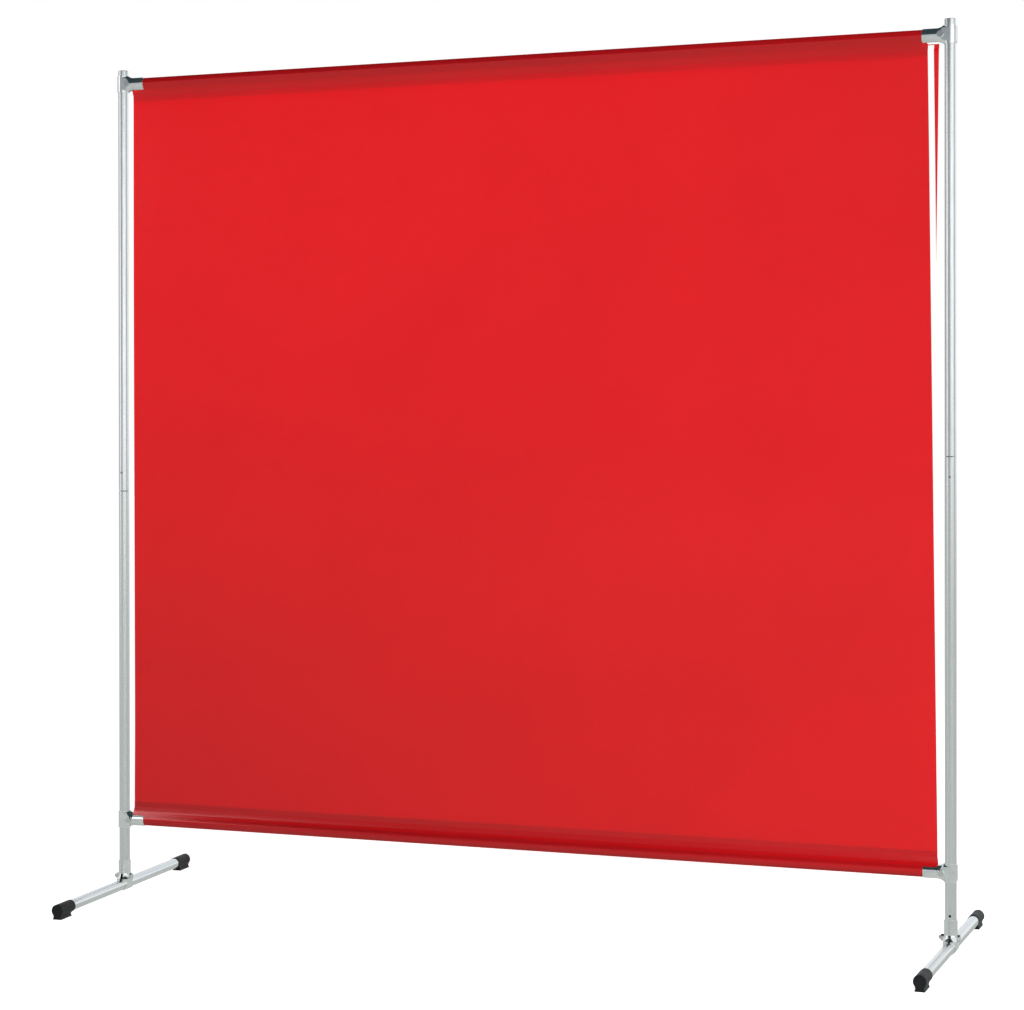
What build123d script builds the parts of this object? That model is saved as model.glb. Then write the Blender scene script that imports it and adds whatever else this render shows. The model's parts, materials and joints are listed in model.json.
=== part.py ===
from build123d import *
import math
import os

# Free-standing welding curtain screen: a bolted tube frame on two cross feet that
# holds one foil curtain by a welded tunnel at its top and one at its bottom.
# Millimetres. +Z is up, -Y is the front, +X is to the right. The origin is on the
# ground, midway between the two posts.

# Tubes. Posts and rails are the same pole: a socket tube and a spigot tube.
TUBE_RADIUS = 12.5
TUBE_BORE_RADIUS = 11.0
SOCKET_TUBE_LENGTH = 1021.0
SPIGOT_LENGTH = 86.0
SPIGOT_RADIUS = 10.9
SPIGOT_BORE_RADIUS = 9.4
SHOULDER_LENGTH = 2.5
POLE_END_CHAMFER = 0.9
POLE_LENGTH = 1955.0

# Frame.
OVERALL_HEIGHT = 2000.0
TOP_RAIL_HEIGHT = 1967.0
BOTTOM_RAIL_HEIGHT = 179.0
FOOT_TUBE_HEIGHT = 20.5

# Clamps: one pressed tee of two half shells, used six times.
CLAMP_WALL = 2.0
CLAMP_FIT = 0.05
CLAMP_SLEEVE_LENGTH = 40.0
CLAMP_STEM_REACH = 58.0
CLAMP_SPLIT_GAP = 6.0
CLAMP_CORNER_CHAMFER = 3.5
STEM_TUBE_SETBACK = 24.5
FLARE_END = 29.0
FLARE_RADIUS = 24.0
BOLT_OFFSET = 19.0
BOLT_HOLE_RADIUS = 4.25

# M8 fasteners.
BOLT_RADIUS = 3.95
BOLT_LENGTH = 40.0
HEX_ACROSS_FLATS = 13.0
BOLT_HEAD_HEIGHT = 5.3
NUT_HEIGHT = 6.5
NUT_BORE_RADIUS = 4.0

# Snap buttons.
BUTTON_RADIUS = 2.75
BUTTON_FIT = 0.1
BUTTON_PROUD = 2.5
LEAF_WIDTH = 7.0
LEAF_THICKNESS = 0.8

# Feet. Each one stands turned a little on its post, its front end inwards.
FOOT_LENGTH = 670.0
LEFT_TOE_IN = 2.4
RIGHT_TOE_IN = 1.3
CAP_LENGTH = 64.0
CAP_RADIUS = 14.0
CAP_END_WALL = 4.0
PEDESTAL_LENGTH = 50.0
PEDESTAL_WIDTH = 21.4
PEDESTAL_WAIST = 18.4

# Curtain.
CURTAIN_WIDTH = 1948.0
FOIL_THICKNESS = 0.4
TUNNEL_RADIUS = 13.3
TUNNEL_DEPTH = 32.0
WELD_HEIGHT = 12.0
WELD_ROOT = 1.0
NOTCH_CLEARANCE = 1.5

# Worked out from the values above.
BUTTON_SETBACK = SPIGOT_LENGTH / 2
CLAMP_BORE_RADIUS = TUBE_RADIUS + CLAMP_FIT
CLAMP_RADIUS = CLAMP_BORE_RADIUS + CLAMP_WALL
POST_X = POLE_LENGTH / 2 + STEM_TUBE_SETBACK
POST_FOOT_HEIGHT = OVERALL_HEIGHT - POLE_LENGTH
CAP_INNER_END = FOOT_LENGTH / 2 - CAP_END_WALL
HEX_CORNER_RADIUS = HEX_ACROSS_FLATS / 2 / math.cos(math.radians(30))
FEET = (("left", -POST_X, LEFT_TOE_IN), ("right", POST_X, -RIGHT_TOE_IN))


def rod(radius, start, end):
    """Round bar along Z from start to end."""
    return Pos(0, 0, (start + end) / 2) * Cylinder(radius, end - start)


def side_rod(radius, start, end, height):
    """Round bar along Y from start to end, at the given height."""
    return Pos(0, (start + end) / 2, height) * Rot(90, 0, 0) * Cylinder(radius, end - start)


# --- Poles: each runs along +Z from its socket tube's far end, button towards -Y ---


def button_hole(height):
    return side_rod(BUTTON_RADIUS + BUTTON_FIT, -2 * TUBE_RADIUS, 0, height)


def socket_tube():
    tube = rod(TUBE_RADIUS, 0, SOCKET_TUBE_LENGTH)
    tube = chamfer(tube.edges().sort_by(Axis.Z)[0], POLE_END_CHAMFER)
    tube -= rod(TUBE_BORE_RADIUS, -1, SOCKET_TUBE_LENGTH + 1)
    for height in (BUTTON_SETBACK, SOCKET_TUBE_LENGTH - BUTTON_SETBACK):
        tube -= button_hole(height)
    return tube


def spigot_tube():
    tip = SOCKET_TUBE_LENGTH - SPIGOT_LENGTH
    seam = SOCKET_TUBE_LENGTH
    outline = Polyline(
        (SPIGOT_BORE_RADIUS, tip),
        (SPIGOT_RADIUS, tip),
        (SPIGOT_RADIUS, seam),
        (TUBE_RADIUS, seam + SHOULDER_LENGTH),
        (TUBE_RADIUS, POLE_LENGTH - POLE_END_CHAMFER),
        (TUBE_RADIUS - POLE_END_CHAMFER, POLE_LENGTH),
        (TUBE_BORE_RADIUS, POLE_LENGTH),
        (TUBE_BORE_RADIUS, seam + 2 * SHOULDER_LENGTH),
        (SPIGOT_BORE_RADIUS, seam + SHOULDER_LENGTH),
        close=True,
    )
    tube = revolve(Plane.XZ * make_face(outline), Axis.Z)
    return tube - button_hole(seam - BUTTON_SETBACK)


def snap_button():
    """Domed pin on the moving leaf of its spring."""
    height = SOCKET_TUBE_LENGTH - BUTTON_SETBACK
    leaf_face = SPIGOT_BORE_RADIUS - 1.4
    tip = TUBE_RADIUS + BUTTON_PROUD
    pin = side_rod(BUTTON_RADIUS, -tip, -leaf_face, height)
    pin = fillet(pin.edges().sort_by(Axis.Y)[0], BUTTON_RADIUS * 0.8)
    leaf_length = 28.0
    leaf = Pos(0, LEAF_THICKNESS / 2 - leaf_face, height + leaf_length / 2 - LEAF_WIDTH / 2) * Box(
        LEAF_WIDTH, LEAF_THICKNESS, leaf_length
    )
    return pin + leaf


def button_spring():
    """Fixed leaf of the spring, with its bend, against the far wall of the spigot."""
    foot = SOCKET_TUBE_LENGTH - BUTTON_SETBACK - LEAF_WIDTH
    leaf_length = 42.0
    bend_radius = 4.0
    outer = SPIGOT_BORE_RADIUS - 0.7
    leaf = Pos(0, outer - LEAF_THICKNESS / 2, foot + leaf_length / 2) * Box(
        LEAF_WIDTH, LEAF_THICKNESS, leaf_length
    )
    ring = Circle(bend_radius) - Circle(bend_radius - LEAF_THICKNESS)
    ring -= Pos(0, -bend_radius) * Rectangle(2 * bend_radius, 2 * bend_radius)
    bend = Plane.YZ * Pos(outer - bend_radius, foot + leaf_length) * ring
    return leaf + extrude(bend, LEAF_WIDTH / 2, both=True)


# --- Clamp: sleeve along Z at the origin, stem along +X, split in the XZ plane ---


def flare_profile(stem_radius, mouth_radius):
    """Half section of the stem's trumpet, where it widens to meet the sleeve."""
    centre = CLAMP_RADIUS + FLARE_RADIUS
    arc_radius = centre - stem_radius
    reach = math.sqrt(arc_radius**2 - (centre - mouth_radius) ** 2)
    half_turn = math.asin(reach / arc_radius) / 2
    middle = (
        FLARE_END - arc_radius * math.sin(half_turn),
        centre - arc_radius * math.cos(half_turn),
    )
    mouth = (FLARE_END - reach, mouth_radius)
    edges = [
        Line((0, 0), (FLARE_END, 0)),
        Line((FLARE_END, 0), (FLARE_END, stem_radius)),
        ThreePointArc((FLARE_END, stem_radius), middle, mouth),
        Line(mouth, (0, mouth_radius)),
        Line((0, mouth_radius), (0, 0)),
    ]
    return make_face(edges)


def tee(radius, sleeve_length, stem_reach, mouth_radius):
    """Solid tee of the given radius: sleeve, stem and the flare between them."""
    sleeve = Cylinder(radius, sleeve_length)
    stem = Pos(stem_reach / 2, 0, 0) * Rot(0, 90, 0) * Cylinder(radius, stem_reach)
    flare = revolve(flare_profile(radius, mouth_radius), Axis.X)
    slab = Box(4 * FLARE_END, 2 * radius, 4 * FLARE_END)
    return sleeve + stem + (flare & slab)


def clamp_half():
    """Front half shell, on the -Y side."""
    mouth = CLAMP_SLEEVE_LENGTH / 2
    shell = tee(CLAMP_RADIUS, CLAMP_SLEEVE_LENGTH, CLAMP_STEM_REACH, mouth)
    width = CLAMP_RADIUS + CLAMP_STEM_REACH
    outline = Rectangle(width, CLAMP_SLEEVE_LENGTH)
    outline = chamfer(outline.vertices().group_by(Axis.X)[0], CLAMP_CORNER_CHAMFER)
    blank = extrude(Plane.XZ * Pos(width / 2 - CLAMP_RADIUS, 0) * outline, 2 * CLAMP_RADIUS, both=True)
    shell &= blank
    shell -= tee(CLAMP_BORE_RADIUS, 2 * CLAMP_SLEEVE_LENGTH, CLAMP_STEM_REACH + 1, mouth - CLAMP_WALL)
    rear = 2 * CLAMP_RADIUS
    shell -= Pos(0, rear / 2 - CLAMP_SPLIT_GAP / 2, 0) * Box(4 * CLAMP_STEM_REACH, rear, 4 * CLAMP_STEM_REACH)
    return shell - Pos(BOLT_OFFSET, 0, 0) * side_rod(BOLT_HOLE_RADIUS, -2 * CLAMP_RADIUS, 0, 0)


def hex_prism(start, end):
    """Hexagonal bar along Y with its corners eased at both ends."""
    length = end - start
    prism = extrude(Plane.XZ * RegularPolygon(HEX_CORNER_RADIUS, 6), length / 2, both=True)
    ease = chamfer(Cylinder(HEX_CORNER_RADIUS, length).edges(), 0.7)
    return Pos(0, (start + end) / 2, 0) * (prism & (Rot(90, 0, 0) * ease))


def clamp_bolt():
    """Hex bolt along Y with its head under the front half."""
    shank = side_rod(BOLT_RADIUS, -CLAMP_RADIUS, BOLT_LENGTH - CLAMP_RADIUS, 0)
    shank = chamfer(shank.edges().sort_by(Axis.Y)[-1], 0.8)
    head = hex_prism(-CLAMP_RADIUS - BOLT_HEAD_HEIGHT, -CLAMP_RADIUS)
    return Pos(BOLT_OFFSET, 0, 0) * (head + shank)


def clamp_nut():
    nut = hex_prism(CLAMP_RADIUS, CLAMP_RADIUS + NUT_HEIGHT)
    bore = side_rod(NUT_BORE_RADIUS, 0, 2 * CLAMP_RADIUS, 0)
    return Pos(BOLT_OFFSET, 0, 0) * (nut - bore)


# --- Feet: a tube along Y with a black end cap pushed over each end ---


def foot_tube():
    outer = side_rod(TUBE_RADIUS, -CAP_INNER_END, CAP_INNER_END, FOOT_TUBE_HEIGHT)
    return outer - side_rod(TUBE_BORE_RADIUS, -FOOT_LENGTH, FOOT_LENGTH, FOOT_TUBE_HEIGHT)


def pedestal():
    """Flared block under the front cap, down to the ground."""
    lip = 1.5
    waist_height = 5.0
    half_width = PEDESTAL_WIDTH / 2
    half_waist = PEDESTAL_WAIST / 2
    shoulder = CAP_RADIUS * math.sin(math.radians(55))
    shoulder_height = FOOT_TUBE_HEIGHT - CAP_RADIUS * math.cos(math.radians(55))
    side = [
        Line((0, 0), (half_width, 0)),
        Line((half_width, 0), (half_width, lip)),
        ThreePointArc((half_width, lip), (half_waist, waist_height), (shoulder, shoulder_height)),
        Line((shoulder, shoulder_height), (0, FOOT_TUBE_HEIGHT)),
        Line((0, FOOT_TUBE_HEIGHT), (0, 0)),
    ]
    half = make_face(side)
    section = Plane.XZ * (half + mirror(half, Plane.YZ))
    across = extrude(section, FOOT_LENGTH)
    front = -FOOT_LENGTH / 2 + 1.5
    back = front + PEDESTAL_LENGTH
    neck_height = 9.0
    length = [
        Line((front, 0), (back, 0)),
        Line((back, 0), (back, lip)),
        ThreePointArc((back, lip), (back - 1.0, waist_height), (back + 3.5, neck_height)),
        Line((back + 3.5, neck_height), (back + 3.5, FOOT_TUBE_HEIGHT)),
        Line((back + 3.5, FOOT_TUBE_HEIGHT), (front, FOOT_TUBE_HEIGHT)),
        Line((front, FOOT_TUBE_HEIGHT), (front, 0)),
    ]
    along = extrude(Plane.YZ * make_face(length), PEDESTAL_WIDTH, both=True)
    return across & along


def front_cap():
    end = -FOOT_LENGTH / 2
    barrel = side_rod(CAP_RADIUS, end, end + CAP_LENGTH, FOOT_TUBE_HEIGHT)
    barrel = fillet(barrel.edges().sort_by(Axis.Y)[0], 2.0)
    barrel = chamfer(barrel.edges().sort_by(Axis.Y)[-1], 0.5)
    cap = barrel + pedestal()
    return cap - side_rod(TUBE_RADIUS + CLAMP_FIT, -CAP_INNER_END, 0, FOOT_TUBE_HEIGHT)


# --- Curtain: one foil; each tunnel is a loop round its rail, welded to the panel ---


def teardrop(radius, apex_depth):
    """Closed outline of a loop of foil hanging from a round rail, in X and Y."""
    tilt = math.asin(radius / apex_depth)
    side = (radius * math.cos(tilt), -radius * math.sin(tilt))
    edges = [
        Line((0, -apex_depth), side),
        ThreePointArc(side, (0, radius), (-side[0], side[1])),
        Line((-side[0], side[1]), (0, -apex_depth)),
    ]
    return make_face(edges)


def hanging_tunnel():
    """Top tunnel about its rail's axis along X, with its weld flap on the front."""
    loop = teardrop(TUNNEL_RADIUS + FOIL_THICKNESS, TUNNEL_DEPTH + WELD_ROOT)
    loop -= teardrop(TUNNEL_RADIUS, TUNNEL_DEPTH - WELD_ROOT)
    loop &= Rectangle(4 * TUNNEL_RADIUS, 2 * TUNNEL_DEPTH)
    flap_top = WELD_ROOT / 2 - TUNNEL_DEPTH
    flap_height = WELD_HEIGHT + WELD_ROOT / 2
    flap = Pos(-FOIL_THICKNESS, flap_top - flap_height / 2) * Rectangle(FOIL_THICKNESS, flap_height)
    tunnel = extrude(Plane.YZ * (loop + flap), CURTAIN_WIDTH / 2, both=True)
    stem_end = POST_X - CLAMP_STEM_REACH - NOTCH_CLEARANCE
    notch_width = CURTAIN_WIDTH / 2 - stem_end + 1
    notch_floor = -CLAMP_RADIUS - NOTCH_CLEARANCE
    notch_height = 2 * CLAMP_RADIUS + 2 * NOTCH_CLEARANCE
    for side in (-1, 1):
        centre = Pos(side * (stem_end + notch_width / 2), 0, notch_floor + notch_height / 2)
        tunnel -= centre * Box(notch_width, 4 * TUNNEL_RADIUS, notch_height)
    return tunnel


def panel():
    top = TOP_RAIL_HEIGHT - TUNNEL_DEPTH
    bottom = BOTTOM_RAIL_HEIGHT + TUNNEL_DEPTH
    return Pos(0, 0, (top + bottom) / 2) * Box(CURTAIN_WIDTH, FOIL_THICKNESS, top - bottom)


# --- Assembly ---


def place_poles(parts):
    rail_x = -POLE_LENGTH / 2
    poles = [
        ("left_post", "upper", "lower", Plane((-POST_X, 0, OVERALL_HEIGHT), (-1, 0, 0), (0, 0, -1))),
        ("right_post", "lower", "upper", Plane((POST_X, 0, POST_FOOT_HEIGHT), (1, 0, 0), (0, 0, 1))),
        ("top_rail", "left", "right", Plane((rail_x, 0, TOP_RAIL_HEIGHT), (0, 1, 0), (1, 0, 0))),
        ("bottom_rail", "left", "right", Plane((rail_x, 0, BOTTOM_RAIL_HEIGHT), (0, -1, 0), (1, 0, 0))),
    ]
    for name, socket_end, spigot_end, frame in poles:
        parts[f"{name}_{socket_end}_tube"] = frame * socket_tube()
        parts[f"{name}_{spigot_end}_tube"] = frame * spigot_tube()
        parts[f"{name}_snap_button"] = frame * snap_button()
        parts[f"{name}_button_spring"] = frame * button_spring()


def place_clamp(parts, name, frame, near_side, far_side):
    front = clamp_half()
    parts[f"{name}_clamp_{near_side}"] = frame * front
    parts[f"{name}_clamp_{far_side}"] = frame * mirror(front, Plane.XZ)
    parts[f"{name}_clamp_bolt"] = frame * clamp_bolt()
    parts[f"{name}_clamp_nut"] = frame * clamp_nut()


def place_clamps(parts):
    for level, height in (("top", TOP_RAIL_HEIGHT), ("bottom", BOTTOM_RAIL_HEIGHT)):
        left = Plane((-POST_X, 0, height), (1, 0, 0), (0, 0, 1))
        right = Plane((POST_X, 0, height), (-1, 0, 0), (0, 0, -1))
        place_clamp(parts, f"{level}_left", left, "front", "back")
        place_clamp(parts, f"{level}_right", right, "front", "back")
    for side, x, turn in FEET:
        front = (math.sin(math.radians(turn)), -math.cos(math.radians(turn)), 0)
        foot = Plane((x, 0, FOOT_TUBE_HEIGHT), (0, 0, 1), front)
        place_clamp(parts, f"{side}_foot", foot, "right_half", "left_half")


def place_feet(parts):
    cap = front_cap()
    for side, x, turn in FEET:
        post = Pos(x, 0, 0) * Rot(0, 0, turn)
        parts[f"{side}_foot_tube"] = post * foot_tube()
        parts[f"{side}_foot_front_cap"] = post * cap
        parts[f"{side}_foot_back_cap"] = post * mirror(cap, Plane.XZ)


def place_curtain(parts):
    parts["curtain_panel"] = panel()
    parts["curtain_top_tunnel"] = Pos(0, 0, TOP_RAIL_HEIGHT) * hanging_tunnel()
    parts["curtain_bottom_tunnel"] = Pos(0, 0, BOTTOM_RAIL_HEIGHT) * mirror(hanging_tunnel(), Plane.XY)


def main():
    parts = {}
    place_poles(parts)
    place_clamps(parts)
    place_feet(parts)
    place_curtain(parts)
    os.makedirs("parts", exist_ok=True)
    for name, shape in parts.items():
        export_step(shape, f"parts/{name}.step")


main()
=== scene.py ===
"""Welding curtain screen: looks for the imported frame. Metres, +Z up, -Y towards the front."""

import json
import math

import bmesh
import bpy
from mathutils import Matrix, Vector, noise


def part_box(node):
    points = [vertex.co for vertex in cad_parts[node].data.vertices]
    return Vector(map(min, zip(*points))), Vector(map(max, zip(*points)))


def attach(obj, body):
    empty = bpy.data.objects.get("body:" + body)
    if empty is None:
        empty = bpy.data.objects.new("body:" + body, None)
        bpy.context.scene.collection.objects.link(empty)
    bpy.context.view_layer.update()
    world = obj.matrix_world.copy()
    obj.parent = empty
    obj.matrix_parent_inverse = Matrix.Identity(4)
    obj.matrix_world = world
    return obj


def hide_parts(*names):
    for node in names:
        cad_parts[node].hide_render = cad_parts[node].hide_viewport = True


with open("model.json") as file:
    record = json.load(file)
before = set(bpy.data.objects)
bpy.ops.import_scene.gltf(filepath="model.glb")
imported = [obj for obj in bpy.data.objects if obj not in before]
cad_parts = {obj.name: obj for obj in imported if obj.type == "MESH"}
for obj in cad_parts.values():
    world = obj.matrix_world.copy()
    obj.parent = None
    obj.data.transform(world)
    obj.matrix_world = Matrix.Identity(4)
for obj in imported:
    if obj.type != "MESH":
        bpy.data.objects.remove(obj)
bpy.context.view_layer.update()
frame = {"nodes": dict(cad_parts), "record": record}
nodes = frame["nodes"]

MM = 0.001
WHITE = (1, 1, 1)
BLACK = (0, 0, 0)


# --- Camera ---

CAMERA_PLACE = (1.8012, -4.8838, 1.1230)
CAMERA_DEGREES = (89.82, 0.067, 20.19)
SENSOR_WIDTH = 36.0
LENS = 80.09
UPWARD_SHIFT = -0.0655


def make_camera():
    data = bpy.data.cameras.new("camera")
    data.sensor_width = SENSOR_WIDTH
    data.lens = LENS
    data.shift_y = UPWARD_SHIFT
    camera = bpy.data.objects.new("camera", data)
    camera.location = CAMERA_PLACE
    camera.rotation_euler = [math.radians(angle) for angle in CAMERA_DEGREES]
    bpy.context.scene.collection.objects.link(camera)
    bpy.context.scene.camera = camera


# --- Shader nodes ---


def new_material(name):
    """A material with its node tree, its Principled shader and its output."""
    material = bpy.data.materials.new(name)
    material.use_nodes = True
    tree = material.node_tree
    return material, tree, tree.nodes["Principled BSDF"], tree.nodes["Material Output"]


def ramp(tree, stops, value):
    """Colour ramp over a value, from (place, colour) stops."""
    node = tree.nodes.new("ShaderNodeValToRGB")
    tree.links.new(value, node.inputs["Fac"])
    elements = node.color_ramp.elements
    while len(elements) < len(stops):
        elements.new(0.5)
    for element, (place, colour) in zip(elements, stops):
        element.position = place
        element.color = (*colour, 1)
    return node.outputs["Color"]


def one_colour(tree, kind, colour, strength=1.0):
    """Plain Emission or Background shader."""
    node = tree.nodes.new(kind)
    node.inputs["Color"].default_value = (*colour, 1)
    node.inputs["Strength"].default_value = strength
    return node.outputs[0]


def mix_shaders(tree, first, second, share):
    """Gives way from the first shader to the second by share, a number or a value in the tree."""
    node = tree.nodes.new("ShaderNodeMixShader")
    if isinstance(share, float):
        node.inputs[0].default_value = share
    else:
        tree.links.new(share, node.inputs[0])
    tree.links.new(first, node.inputs[1])
    tree.links.new(second, node.inputs[2])
    return node.outputs[0]


# --- Studio ---

FLOOR_REACH = 30.0
FLOOR_DROP = 0.4 * MM
FLOOR_IN_GLOSS = (0.53, 0.56, 0.545)
FLOOR_ON_MATT = (0.17, 0.17, 0.17)

CEILING_HEIGHT = 2.8
CEILING_OUTLINE = ((-2.3, 0), (-2.3, 2.6), (2.4, 2.6), (2.4, -4.2), (-3.5, -4.2))
CEILING_COLOUR = (0.030, 0.050, 0.055)

# What shines in the metal and the foil: a wall all round, with its stops in turns from -X through -Y.
LIGHT_PANEL, BACK_PANEL = (0.90, 0.90, 0.90), (0.68, 0.70, 0.70)
LEFT_GAP, FRONT_GAP, RIGHT_GAP = (0.32, 0.32, 0.31), (0.29, 0.31, 0.34), (0.31, 0.34, 0.355)
HIGH_FRONT, HIGH_BACK, HIGH_GAP = (0.62, 0.62, 0.62), (0.55, 0.57, 0.60), (0.20, 0.21, 0.23)
LOW_WALL = [
    (0.00, LEFT_GAP), (0.03, LEFT_GAP), (0.06, LIGHT_PANEL), (0.115, LIGHT_PANEL),
    (0.14, FRONT_GAP), (0.265, FRONT_GAP), (0.285, LIGHT_PANEL), (0.44, LIGHT_PANEL),
    (0.47, RIGHT_GAP), (0.53, RIGHT_GAP), (0.57, BACK_PANEL), (0.80, BACK_PANEL), (0.90, LEFT_GAP),
]
HIGH_WALL = [
    (0.0, HIGH_BACK), (0.08, HIGH_FRONT), (0.1695, HIGH_FRONT), (0.1745, HIGH_GAP),
    (0.2195, HIGH_GAP), (0.2225, HIGH_FRONT), (0.44, HIGH_FRONT), (0.55, HIGH_BACK),
]
WALL_SPLIT = [(0.17, BLACK), (0.24, WHITE)]
WALL_STRENGTH = 1.5
WINDOW_DIRECTION = (-0.49, -0.68, 0.54)
WINDOW_EDGE = [(0.986, BLACK), (0.993, WHITE)]
WINDOW_STRENGTH = 5.2
SKY_ON_MATT = 0.15


def stage_plane(name, corners, height):
    """Flat piece of the studio, and its mesh."""
    mesh = bpy.data.meshes.new(name)
    mesh.from_pydata([(x, y, height) for x, y in corners], [], [tuple(range(len(corners)))])
    plane = bpy.data.objects.new(name, mesh)
    bpy.context.scene.collection.objects.link(plane)
    return plane, mesh


def make_floor():
    """Plain white floor a hair below the ground pads, which shines back greyer than it looks."""
    corners = [(x * FLOOR_REACH, y * FLOOR_REACH) for x, y in ((-1, -1), (1, -1), (1, 1), (-1, 1))]
    floor, mesh = stage_plane("floor", corners, -FLOOR_DROP)
    material, tree, shader, output = new_material("floor_white")
    shader.inputs["Base Color"].default_value = (0.86, 0.87, 0.87, 1)
    shader.inputs["Roughness"].default_value = 0.9
    shader.inputs["Specular IOR Level"].default_value = 0.0
    shader.inputs["Emission Color"].default_value = (*WHITE, 1)
    shader.inputs["Emission Strength"].default_value = 0.90
    path = tree.nodes.new("ShaderNodeLightPath")
    look = shader.outputs[0]
    for ray, colour in (("Is Glossy Ray", FLOOR_IN_GLOSS), ("Is Diffuse Ray", FLOOR_ON_MATT)):
        shine = one_colour(tree, "ShaderNodeEmission", colour)
        look = mix_shaders(tree, look, shine, path.outputs[ray])
    tree.links.new(look, output.inputs["Surface"])
    mesh.materials.append(material)


def make_ceiling():
    """Dark patch of ceiling over the screen, which only the metal and the foil reflect."""
    ceiling, mesh = stage_plane("ceiling", CEILING_OUTLINE, CEILING_HEIGHT)
    ceiling.visible_camera = False
    ceiling.visible_diffuse = False
    ceiling.visible_transmission = False
    ceiling.visible_shadow = False
    material, tree, _, output = new_material("ceiling_dark")
    dim = one_colour(tree, "ShaderNodeEmission", CEILING_COLOUR)
    tree.links.new(dim, output.inputs["Surface"])
    mesh.materials.append(material)


def reflected_wall(tree, direction):
    """The wall that shines in the metal: light panels and grey gaps, with others above the split."""
    turn = tree.nodes.new("ShaderNodeTexGradient")
    turn.gradient_type = "RADIAL"
    tree.links.new(direction, turn.inputs["Vector"])
    height = tree.nodes.new("ShaderNodeSeparateXYZ")
    tree.links.new(direction, height.inputs[0])
    both = tree.nodes.new("ShaderNodeMix")
    both.data_type = "RGBA"
    tree.links.new(ramp(tree, WALL_SPLIT, height.outputs["Z"]), both.inputs["Factor"])
    tree.links.new(ramp(tree, LOW_WALL, turn.outputs["Fac"]), both.inputs["A"])
    tree.links.new(ramp(tree, HIGH_WALL, turn.outputs["Fac"]), both.inputs["B"])
    wall = tree.nodes.new("ShaderNodeBackground")
    wall.inputs["Strength"].default_value = WALL_STRENGTH
    tree.links.new(both.outputs["Result"], wall.inputs["Color"])
    return wall.outputs[0]


def reflected_room(tree, direction):
    """The reflected wall with a bright round window, high in the front left."""
    nearness = tree.nodes.new("ShaderNodeVectorMath")
    nearness.operation = "DOT_PRODUCT"
    nearness.inputs[1].default_value = WINDOW_DIRECTION
    tree.links.new(direction, nearness.inputs[0])
    window = one_colour(tree, "ShaderNodeBackground", WHITE, WINDOW_STRENGTH)
    inside = ramp(tree, WINDOW_EDGE, nearness.outputs["Value"])
    return mix_shaders(tree, reflected_wall(tree, direction), window, inside)


def make_studio_sky():
    """White behind the screen, dim for matt surfaces, and the reflected room for what shines."""
    world = bpy.data.worlds.new("studio")
    bpy.context.scene.world = world
    world.use_nodes = True
    tree = world.node_tree
    tree.nodes.clear()
    output = tree.nodes.new("ShaderNodeOutputWorld")
    direction = tree.nodes.new("ShaderNodeTexCoord").outputs["Generated"]
    path = tree.nodes.new("ShaderNodeLightPath")
    behind = one_colour(tree, "ShaderNodeBackground", WHITE)
    fill = one_colour(tree, "ShaderNodeBackground", WHITE, SKY_ON_MATT)
    sky = mix_shaders(tree, fill, behind, path.outputs["Is Camera Ray"])
    sky = mix_shaders(tree, sky, reflected_room(tree, direction), path.outputs["Is Glossy Ray"])
    tree.links.new(sky, output.inputs["Surface"])


def soft_spot(name, place, target, angle, power):
    """Round soft spotlight at place, aimed at target, kept out of mirror reflections."""
    data = bpy.data.lights.new(name, "SPOT")
    data.spot_size = math.radians(angle)
    data.spot_blend = 1.0
    data.shadow_soft_size = 0.5
    data.energy = power
    light = bpy.data.objects.new(name, data)
    light.location = place
    aim = Vector(target) - Vector(place)
    light.rotation_euler = aim.to_track_quat("-Z", "Y").to_euler()
    light.visible_camera = False
    light.visible_glossy = False
    bpy.context.scene.collection.objects.link(light)


def make_lights():
    soft_spot("front_key", (1.9, -3.0, 2.9), (0.80, 0, 1.10), 76, 480)
    soft_spot("back_key", (-0.2, 3.0, 3.1), (-0.45, 0, 2.1), 70, 540)
    soft_spot("left_key", (-3.4, -3.2, 2.2), (-1.15, 0, 1.50), 38, 560)
    soft_spot("right_key", (2.9, -3.0, 1.6), (1.10, 0, 0.62), 38, 390)


# --- Materials ---

EVEN = (1, 1, 1)
DRAWN = 0.02
LINE_DEPTH = 0.02 * MM


def noise_value(tree, scale, detail, stretch=EVEN):
    """Noise in the object's own coordinates, drawn out along the axes where stretch is small."""
    place = tree.nodes.new("ShaderNodeTexCoord")
    mapping = tree.nodes.new("ShaderNodeMapping")
    mapping.inputs["Scale"].default_value = stretch
    tree.links.new(place.outputs["Object"], mapping.inputs["Vector"])
    node = tree.nodes.new("ShaderNodeTexNoise")
    node.inputs["Scale"].default_value = scale
    node.inputs["Detail"].default_value = detail
    tree.links.new(mapping.outputs["Vector"], node.inputs["Vector"])
    return node.outputs["Fac"]


def spread_value(tree, value, low, high):
    """Maps a noise value's middle range to low..high."""
    node = tree.nodes.new("ShaderNodeMapRange")
    node.inputs["From Min"].default_value = 0.3
    node.inputs["From Max"].default_value = 0.7
    node.inputs["To Min"].default_value = low
    node.inputs["To Max"].default_value = high
    tree.links.new(value, node.inputs["Value"])
    return node.outputs["Result"]


def tint(tree, value, first, second):
    """Colour between first and second by a noise value."""
    node = tree.nodes.new("ShaderNodeMix")
    node.data_type = "RGBA"
    node.inputs["A"].default_value = (*first, 1)
    node.inputs["B"].default_value = (*second, 1)
    tree.links.new(spread_value(tree, value, 0.0, 1.0), node.inputs["Factor"])
    return node.outputs["Result"]


def bump(tree, shader, height, distance):
    node = tree.nodes.new("ShaderNodeBump")
    node.inputs["Distance"].default_value = distance
    node.inputs["Strength"].default_value = 1.0
    tree.links.new(height, node.inputs["Height"])
    tree.links.new(node.outputs["Normal"], shader.inputs["Normal"])


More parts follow.
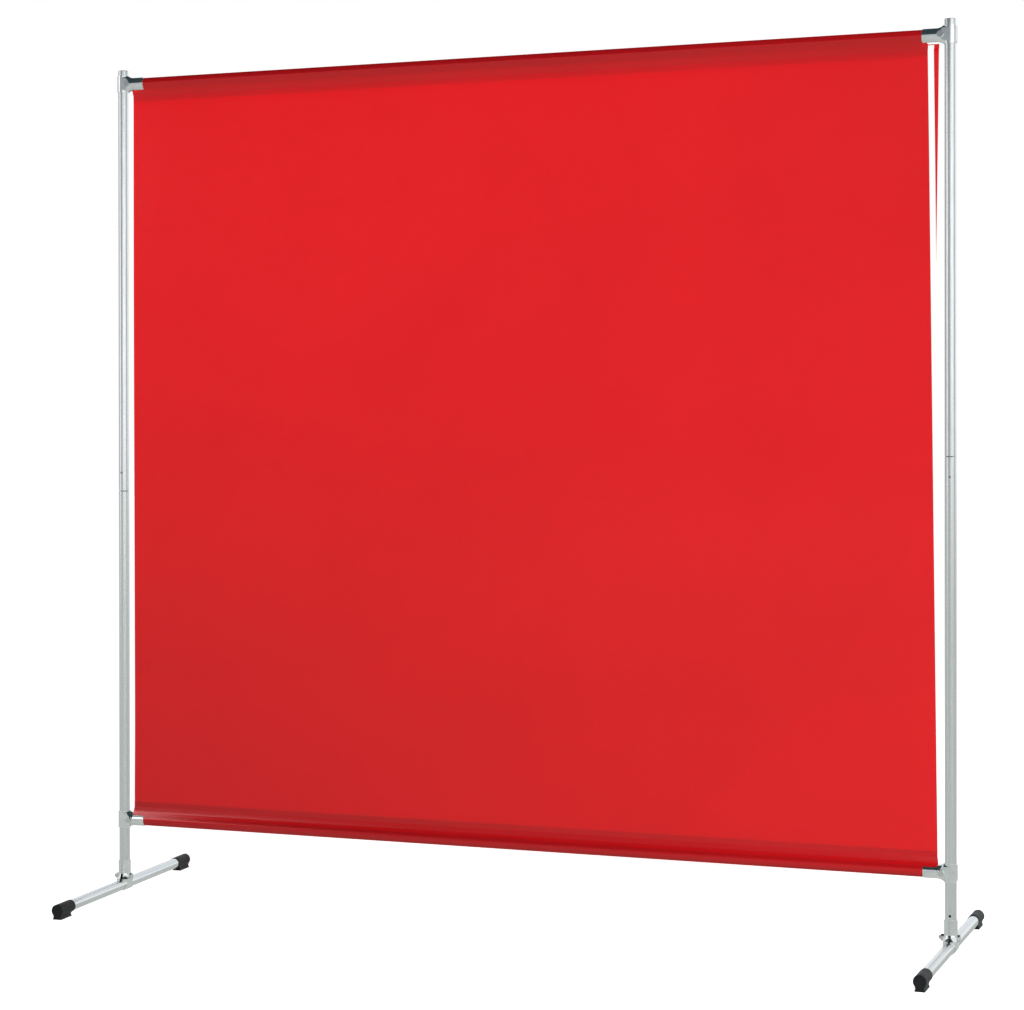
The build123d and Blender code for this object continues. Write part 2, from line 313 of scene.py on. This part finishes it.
def bright_metal(name, light, dark, roughness, stretch=EVEN):
    """Zinc or steel: faint blotches, and fine lines drawn out along the piece."""
    material, tree, shader, _ = new_material(name)
    shader.inputs["Metallic"].default_value = 1.0
    blotches = noise_value(tree, 55.0, 3.0, stretch)
    lines = noise_value(tree, 900.0, 2.0, stretch)
    tree.links.new(tint(tree, blotches, dark, light), shader.inputs["Base Color"])
    rough = spread_value(tree, lines, roughness * 0.75, roughness * 1.3)
    tree.links.new(rough, shader.inputs["Roughness"])
    bump(tree, shader, lines, LINE_DEPTH)
    return material


def rubber():
    """Black moulded rubber, satin, with a fine grain."""
    material, tree, shader, _ = new_material("moulded_rubber")
    grain = noise_value(tree, 1400.0, 3.0)
    wear = noise_value(tree, 60.0, 4.0)
    black = tint(tree, wear, (0.006, 0.007, 0.008), (0.012, 0.012, 0.013))
    tree.links.new(black, shader.inputs["Base Color"])
    shader.inputs["Specular IOR Level"].default_value = 0.28
    tree.links.new(spread_value(tree, wear, 0.42, 0.58), shader.inputs["Roughness"])
    bump(tree, shader, grain, 0.06 * MM)
    return material


def red_foil():
    """Glossy red PVC foil that lets light through and shows what is behind it."""
    scattered_share, clear_share = 0.40, 0.50
    material, tree, shader, output = new_material("welding_foil")
    clouds = noise_value(tree, 3.0, 3.0)
    skin = noise_value(tree, 260.0, 2.0)
    red = tint(tree, clouds, (0.735, 0.012, 0.018), (0.775, 0.015, 0.022))
    tree.links.new(red, shader.inputs["Base Color"])
    shader.inputs["Roughness"].default_value = 0.13
    shader.inputs["IOR"].default_value = 2.0
    bump(tree, shader, skin, 0.012 * MM)
    glow = tree.nodes.new("ShaderNodeBsdfTranslucent")
    tree.links.new(red, glow.inputs["Color"])
    clear = tree.nodes.new("ShaderNodeBsdfTransparent")
    clear.inputs["Color"].default_value = (0.92, 0.004, 0.032, 1)
    hazy = mix_shaders(tree, shader.outputs[0], glow.outputs[0], scattered_share)
    foil = mix_shaders(tree, hazy, clear.outputs[0], clear_share)
    tree.links.new(foil, output.inputs["Surface"])
    return material


def dress_frame():
    """Gives every CAD node but the curtain's its material, with a tube's lines along its length."""
    drawn_along = {"post": (1, 1, DRAWN), "foot": (1, DRAWN, 1), "rail": (DRAWN, 1, 1)}
    tubes = {
        key: bright_metal(f"zinc_tube_{key}", (0.84, 0.86, 0.86), (0.73, 0.75, 0.75), 0.22, stretch)
        for key, stretch in drawn_along.items()
    }
    plain = {
        "zinc_clamp": bright_metal("zinc_clamp_plate", (0.91, 0.93, 0.92), (0.80, 0.82, 0.81), 0.17),
        "zinc_fastener": bright_metal("zinc_bolt_plate", (0.80, 0.80, 0.78), (0.66, 0.67, 0.66), 0.20),
        "spring_steel": bright_metal("spring_steel_strip", (0.50, 0.50, 0.48), (0.38, 0.38, 0.37), 0.28),
        "black_rubber": rubber(),
    }
    for part in frame["record"]["subparts"]:
        name, slot = part["node"], part["material_slot"]
        if slot == "red_foil":
            continue
        if slot == "zinc_tube":
            material = next(tubes[key] for key in tubes if key in name)
        else:
            material = plain[slot]
        for place in nodes[name].material_slots:
            place.material = material


# --- Curtain: one strip of foil, looped round both rails and welded back on itself ---

FOIL = 0.4 * MM
LOOP_RADIUS = 13 * MM
FLAP = 12 * MM
CREASE = 1.2 * MM
CREASE_STEPS = 6
ARC_STEPS = 28
PANEL_ROWS = 46
PANEL_COLUMNS = 76
STEM_CLEARANCE = 1.5 * MM
HARD_EDGE = math.radians(50)
TINY = 0.01 * MM

# Long soft waves over the panel, which its ends hold flat, and a slight curl along its free edges.
HELD_HEIGHT = 220 * MM
WAVE = 2.2 * MM
CURL = 2 * MM
CURL_WIDTH = 90 * MM

# The right edge leans in going up, and a thin pointed tongue of foil hangs beside it.
EDGE_LEAN = 20 * MM
TONGUE_TIP_HEIGHT = 1500 * MM
TONGUE_DROP = 2 * MM
TONGUE_INSET = 2.4 * MM
TONGUE_SHIFT = 0.8 * MM
TONGUE_HALF_TIP = 0.1 * MM
TONGUE_HALF_SPREAD = 5.4 * MM
TONGUE_COLUMN_STEP = 1 * MM


def crease(before, corner, after):
    """Points of a soft fold at a corner of the strip's path, as a quadratic curve."""
    points = []
    for step in range(CREASE_STEPS + 1):
        t = step / CREASE_STEPS
        points.append((1 - t) ** 2 * before + 2 * t * (1 - t) * corner + t**2 * after)
    return points


def loop_path(depth, notch_depth):
    """Top loop's path in (Y, Z) about its rail: up the flap and front, over, and down the back."""
    mirror = Vector((-1, 1))
    tilt = math.asin(LOOP_RADIUS / depth)
    apex = Vector((0, -depth))
    slope = Vector((-math.sin(tilt), math.cos(tilt)))
    touch = apex + slope * math.sqrt(depth**2 - LOOP_RADIUS**2)
    notch = apex + slope * (depth - notch_depth) / slope.y
    halfway = notch.lerp(touch, 0.5)
    flap_apex = Vector((-FOIL, -depth))
    front = [flap_apex + Vector((0, -FLAP * part)) for part in (1, 0.75, 0.5)]
    front += crease(flap_apex + Vector((0, -CREASE)), flap_apex, apex + slope * CREASE)
    front += [notch, halfway]
    start = math.pi - math.atan2(touch.y, -touch.x)
    sweep = 2 * start - math.pi
    arc = []
    for step in range(ARC_STEPS + 1):
        angle = start - sweep * step / ARC_STEPS
        arc.append(LOOP_RADIUS * Vector((math.cos(angle), math.sin(angle))))
    back = [halfway * mirror, notch * mirror]
    back += [(notch - slope * TONGUE_DROP * part) * mirror for part in (1, 2)]
    back += reversed(crease(apex + Vector((0, -CREASE)), apex, apex + slope * mirror * CREASE))
    return front + arc + back


def curtain_path(top_rail, bottom_rail, depth, notch_depth):
    """Whole strip in (Y, Z): top flap, top loop, panel, bottom loop, bottom flap."""
    loop = loop_path(depth, notch_depth)
    top = [Vector((y, top_rail + z)) for y, z in loop]
    bottom = [Vector((y, bottom_rail - z)) for y, z in reversed(loop)]
    panel = [top[-1].lerp(bottom[0], row / PANEL_ROWS) for row in range(1, PANEL_ROWS)]
    return top + panel + bottom


def path_normals(path):
    """Direction across the strip at each point of its path."""
    normals = []
    for row in range(len(path)):
        ahead = path[min(row + 1, len(path) - 1)] - path[max(row - 1, 0)]
        normals.append(Vector((-ahead.y, ahead.x)).normalized())
    return normals


def curtain_columns(half_width, notch_x):
    """Places along X, closer together by the side edges; the last two are for the loose tongue."""
    across = [notch_x * (2 * column / PANEL_COLUMNS - 1) for column in range(PANEL_COLUMNS + 1)]
    edge = [notch_x + (half_width - notch_x) * part for part in (0.25, 0.5, 0.75, 0.9, 1)]
    tongue = [half_width + TONGUE_COLUMN_STEP, half_width + 2 * TONGUE_COLUMN_STEP]
    return [-x for x in reversed(edge)] + across + edge + tongue


def smooth_step(low, high, value):
    t = min(max((value - low) / (high - low), 0), 1)
    return t * t * (3 - 2 * t)


def billow(x, z, low, high):
    """How far the hanging panel leaves its plane, between the panel's low and high corners."""
    held = smooth_step(0, HELD_HEIGHT, z - low.z) * smooth_step(0, HELD_HEIGHT, high.z - z)
    waves = WAVE * (noise.noise(Vector((1.3 * x, 0.4, 0.8 * z))) - 0.1)
    edge = smooth_step(high.x - CURL_WIDTH, high.x, abs(x))
    curl = CURL * edge * (0.6 + 0.8 * noise.noise(Vector((5.0, x, 1.1 * z))))
    return held * (waves + curl)


def column_place(x, z, notch_x, low, high):
    """Where a column lies at height z, with the right edge's lean and the tongue's taper."""
    if x > high.x:
        part = min(max((z - TONGUE_TIP_HEIGHT) / (high.z - TONGUE_TIP_HEIGHT), 0), 1)
        middle = high.x - TONGUE_INSET + TONGUE_SHIFT * part
        half_tongue = TONGUE_HALF_TIP + TONGUE_HALF_SPREAD * part
        return middle + (half_tongue if x > high.x + 1.5 * TONGUE_COLUMN_STEP else -half_tongue)
    if x > notch_x:
        lean = EDGE_LEAN * (z - low.z) / (high.z - low.z)
        return x - lean * (x - notch_x) / (high.x - notch_x)
    return x


def kept_cells(path, columns, half_width, notch_x, notch_z):
    """Cells of the strip, as (row, column): all but its two top corners, with the tongue beside them.

    The bottom loop keeps its corners, which lie inside the clamp stems' metal.
    """
    cut = [point.y > notch_z + TINY for point in path]
    tongue_high = notch_z - TONGUE_DROP / 2
    tongue_top = next(row for row, (y, z) in enumerate(path) if y > 0 and z < tongue_high)

    def kept(row, column):
        middle = (columns[column] + columns[column + 1]) / 2
        if middle > half_width + TONGUE_COLUMN_STEP:
            return row >= tongue_top and path[row].y > TONGUE_TIP_HEIGHT
        if middle > half_width:
            return row == tongue_top
        return abs(middle) < notch_x or not (cut[row] or cut[row + 1])

    rows, across = range(len(path) - 1), range(len(columns) - 1)
    return {(row, column) for row in rows for column in across if kept(row, column)}


def foil_mesh(grids, cells):
    """Closed foil between two grids of places, walled wherever a cell has no neighbour."""
    mesh = bmesh.new()
    outer, inner = [[[mesh.verts.new(place) for place in row] for row in grid] for grid in grids]
    for row, column in sorted(cells):
        ring = [(row, column), (row, column + 1), (row + 1, column + 1), (row + 1, column)]
        mesh.faces.new([outer[r][c] for r, c in ring])
        mesh.faces.new([inner[r][c] for r, c in reversed(ring)])
        for side, (down, right) in enumerate(((-1, 0), (0, 1), (1, 0), (0, -1))):
            if (row + down, column + right) in cells:
                continue
            (r1, c1), (r2, c2) = ring[side], ring[(side + 1) % 4]
            mesh.faces.new([outer[r2][c2], outer[r1][c1], inner[r1][c1], inner[r2][c2]])
    loose = [vertex for vertex in mesh.verts if not vertex.link_faces]
    bmesh.ops.delete(mesh, geom=loose, context="VERTS")
    bmesh.ops.recalc_face_normals(mesh, faces=mesh.faces)
    for face in mesh.faces:
        face.smooth = True
    for edge in mesh.edges:
        if len(edge.link_faces) == 2 and edge.calc_face_angle() > HARD_EDGE:
            edge.smooth = False
    data = bpy.data.meshes.new("curtain_foil")
    mesh.to_mesh(data)
    mesh.free()
    return data


def rail_height(node):
    low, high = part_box(node)
    return (low.z + high.z) / 2


def make_curtain(material):
    """The curtain's sheet, sized and placed by the frame's panel, rails and clamps."""
    low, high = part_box("curtain_panel")
    top_rail, bottom_rail = rail_height("top_rail_left_tube"), rail_height("bottom_rail_left_tube")
    clamp_low, clamp_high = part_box("top_left_clamp_front")
    notch_x = -clamp_high.x - STEM_CLEARANCE
    notch_depth = -clamp_low.y + STEM_CLEARANCE
    path = curtain_path(top_rail, bottom_rail, top_rail - high.z, notch_depth)
    columns = curtain_columns(high.x, notch_x)
    grids = []
    for offset in (FOIL / 2, -FOIL / 2):
        grid = []
        for point, normal in zip(path, path_normals(path)):
            y, z = point + normal * offset
            places = [column_place(x, z, notch_x, low, high) for x in columns]
            grid.append([(x, y + billow(x, z, low, high), z) for x in places])
        grids.append(grid)
    cells = kept_cells(path, columns, high.x, notch_x, top_rail - notch_depth)
    data = foil_mesh(grids, cells)
    data.materials.append(material)
    curtain = bpy.data.objects.new("curtain_foil", data)
    bpy.context.scene.collection.objects.link(curtain)
    curtain.visible_glossy = False
    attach(curtain, "screen")
    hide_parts("curtain_panel", "curtain_top_tunnel", "curtain_bottom_tunnel")


make_camera()
make_studio_sky()
make_floor()
make_ceiling()
make_lights()
dress_frame()
make_curtain(red_foil())

bpy.context.scene.view_settings.view_transform = "Standard"
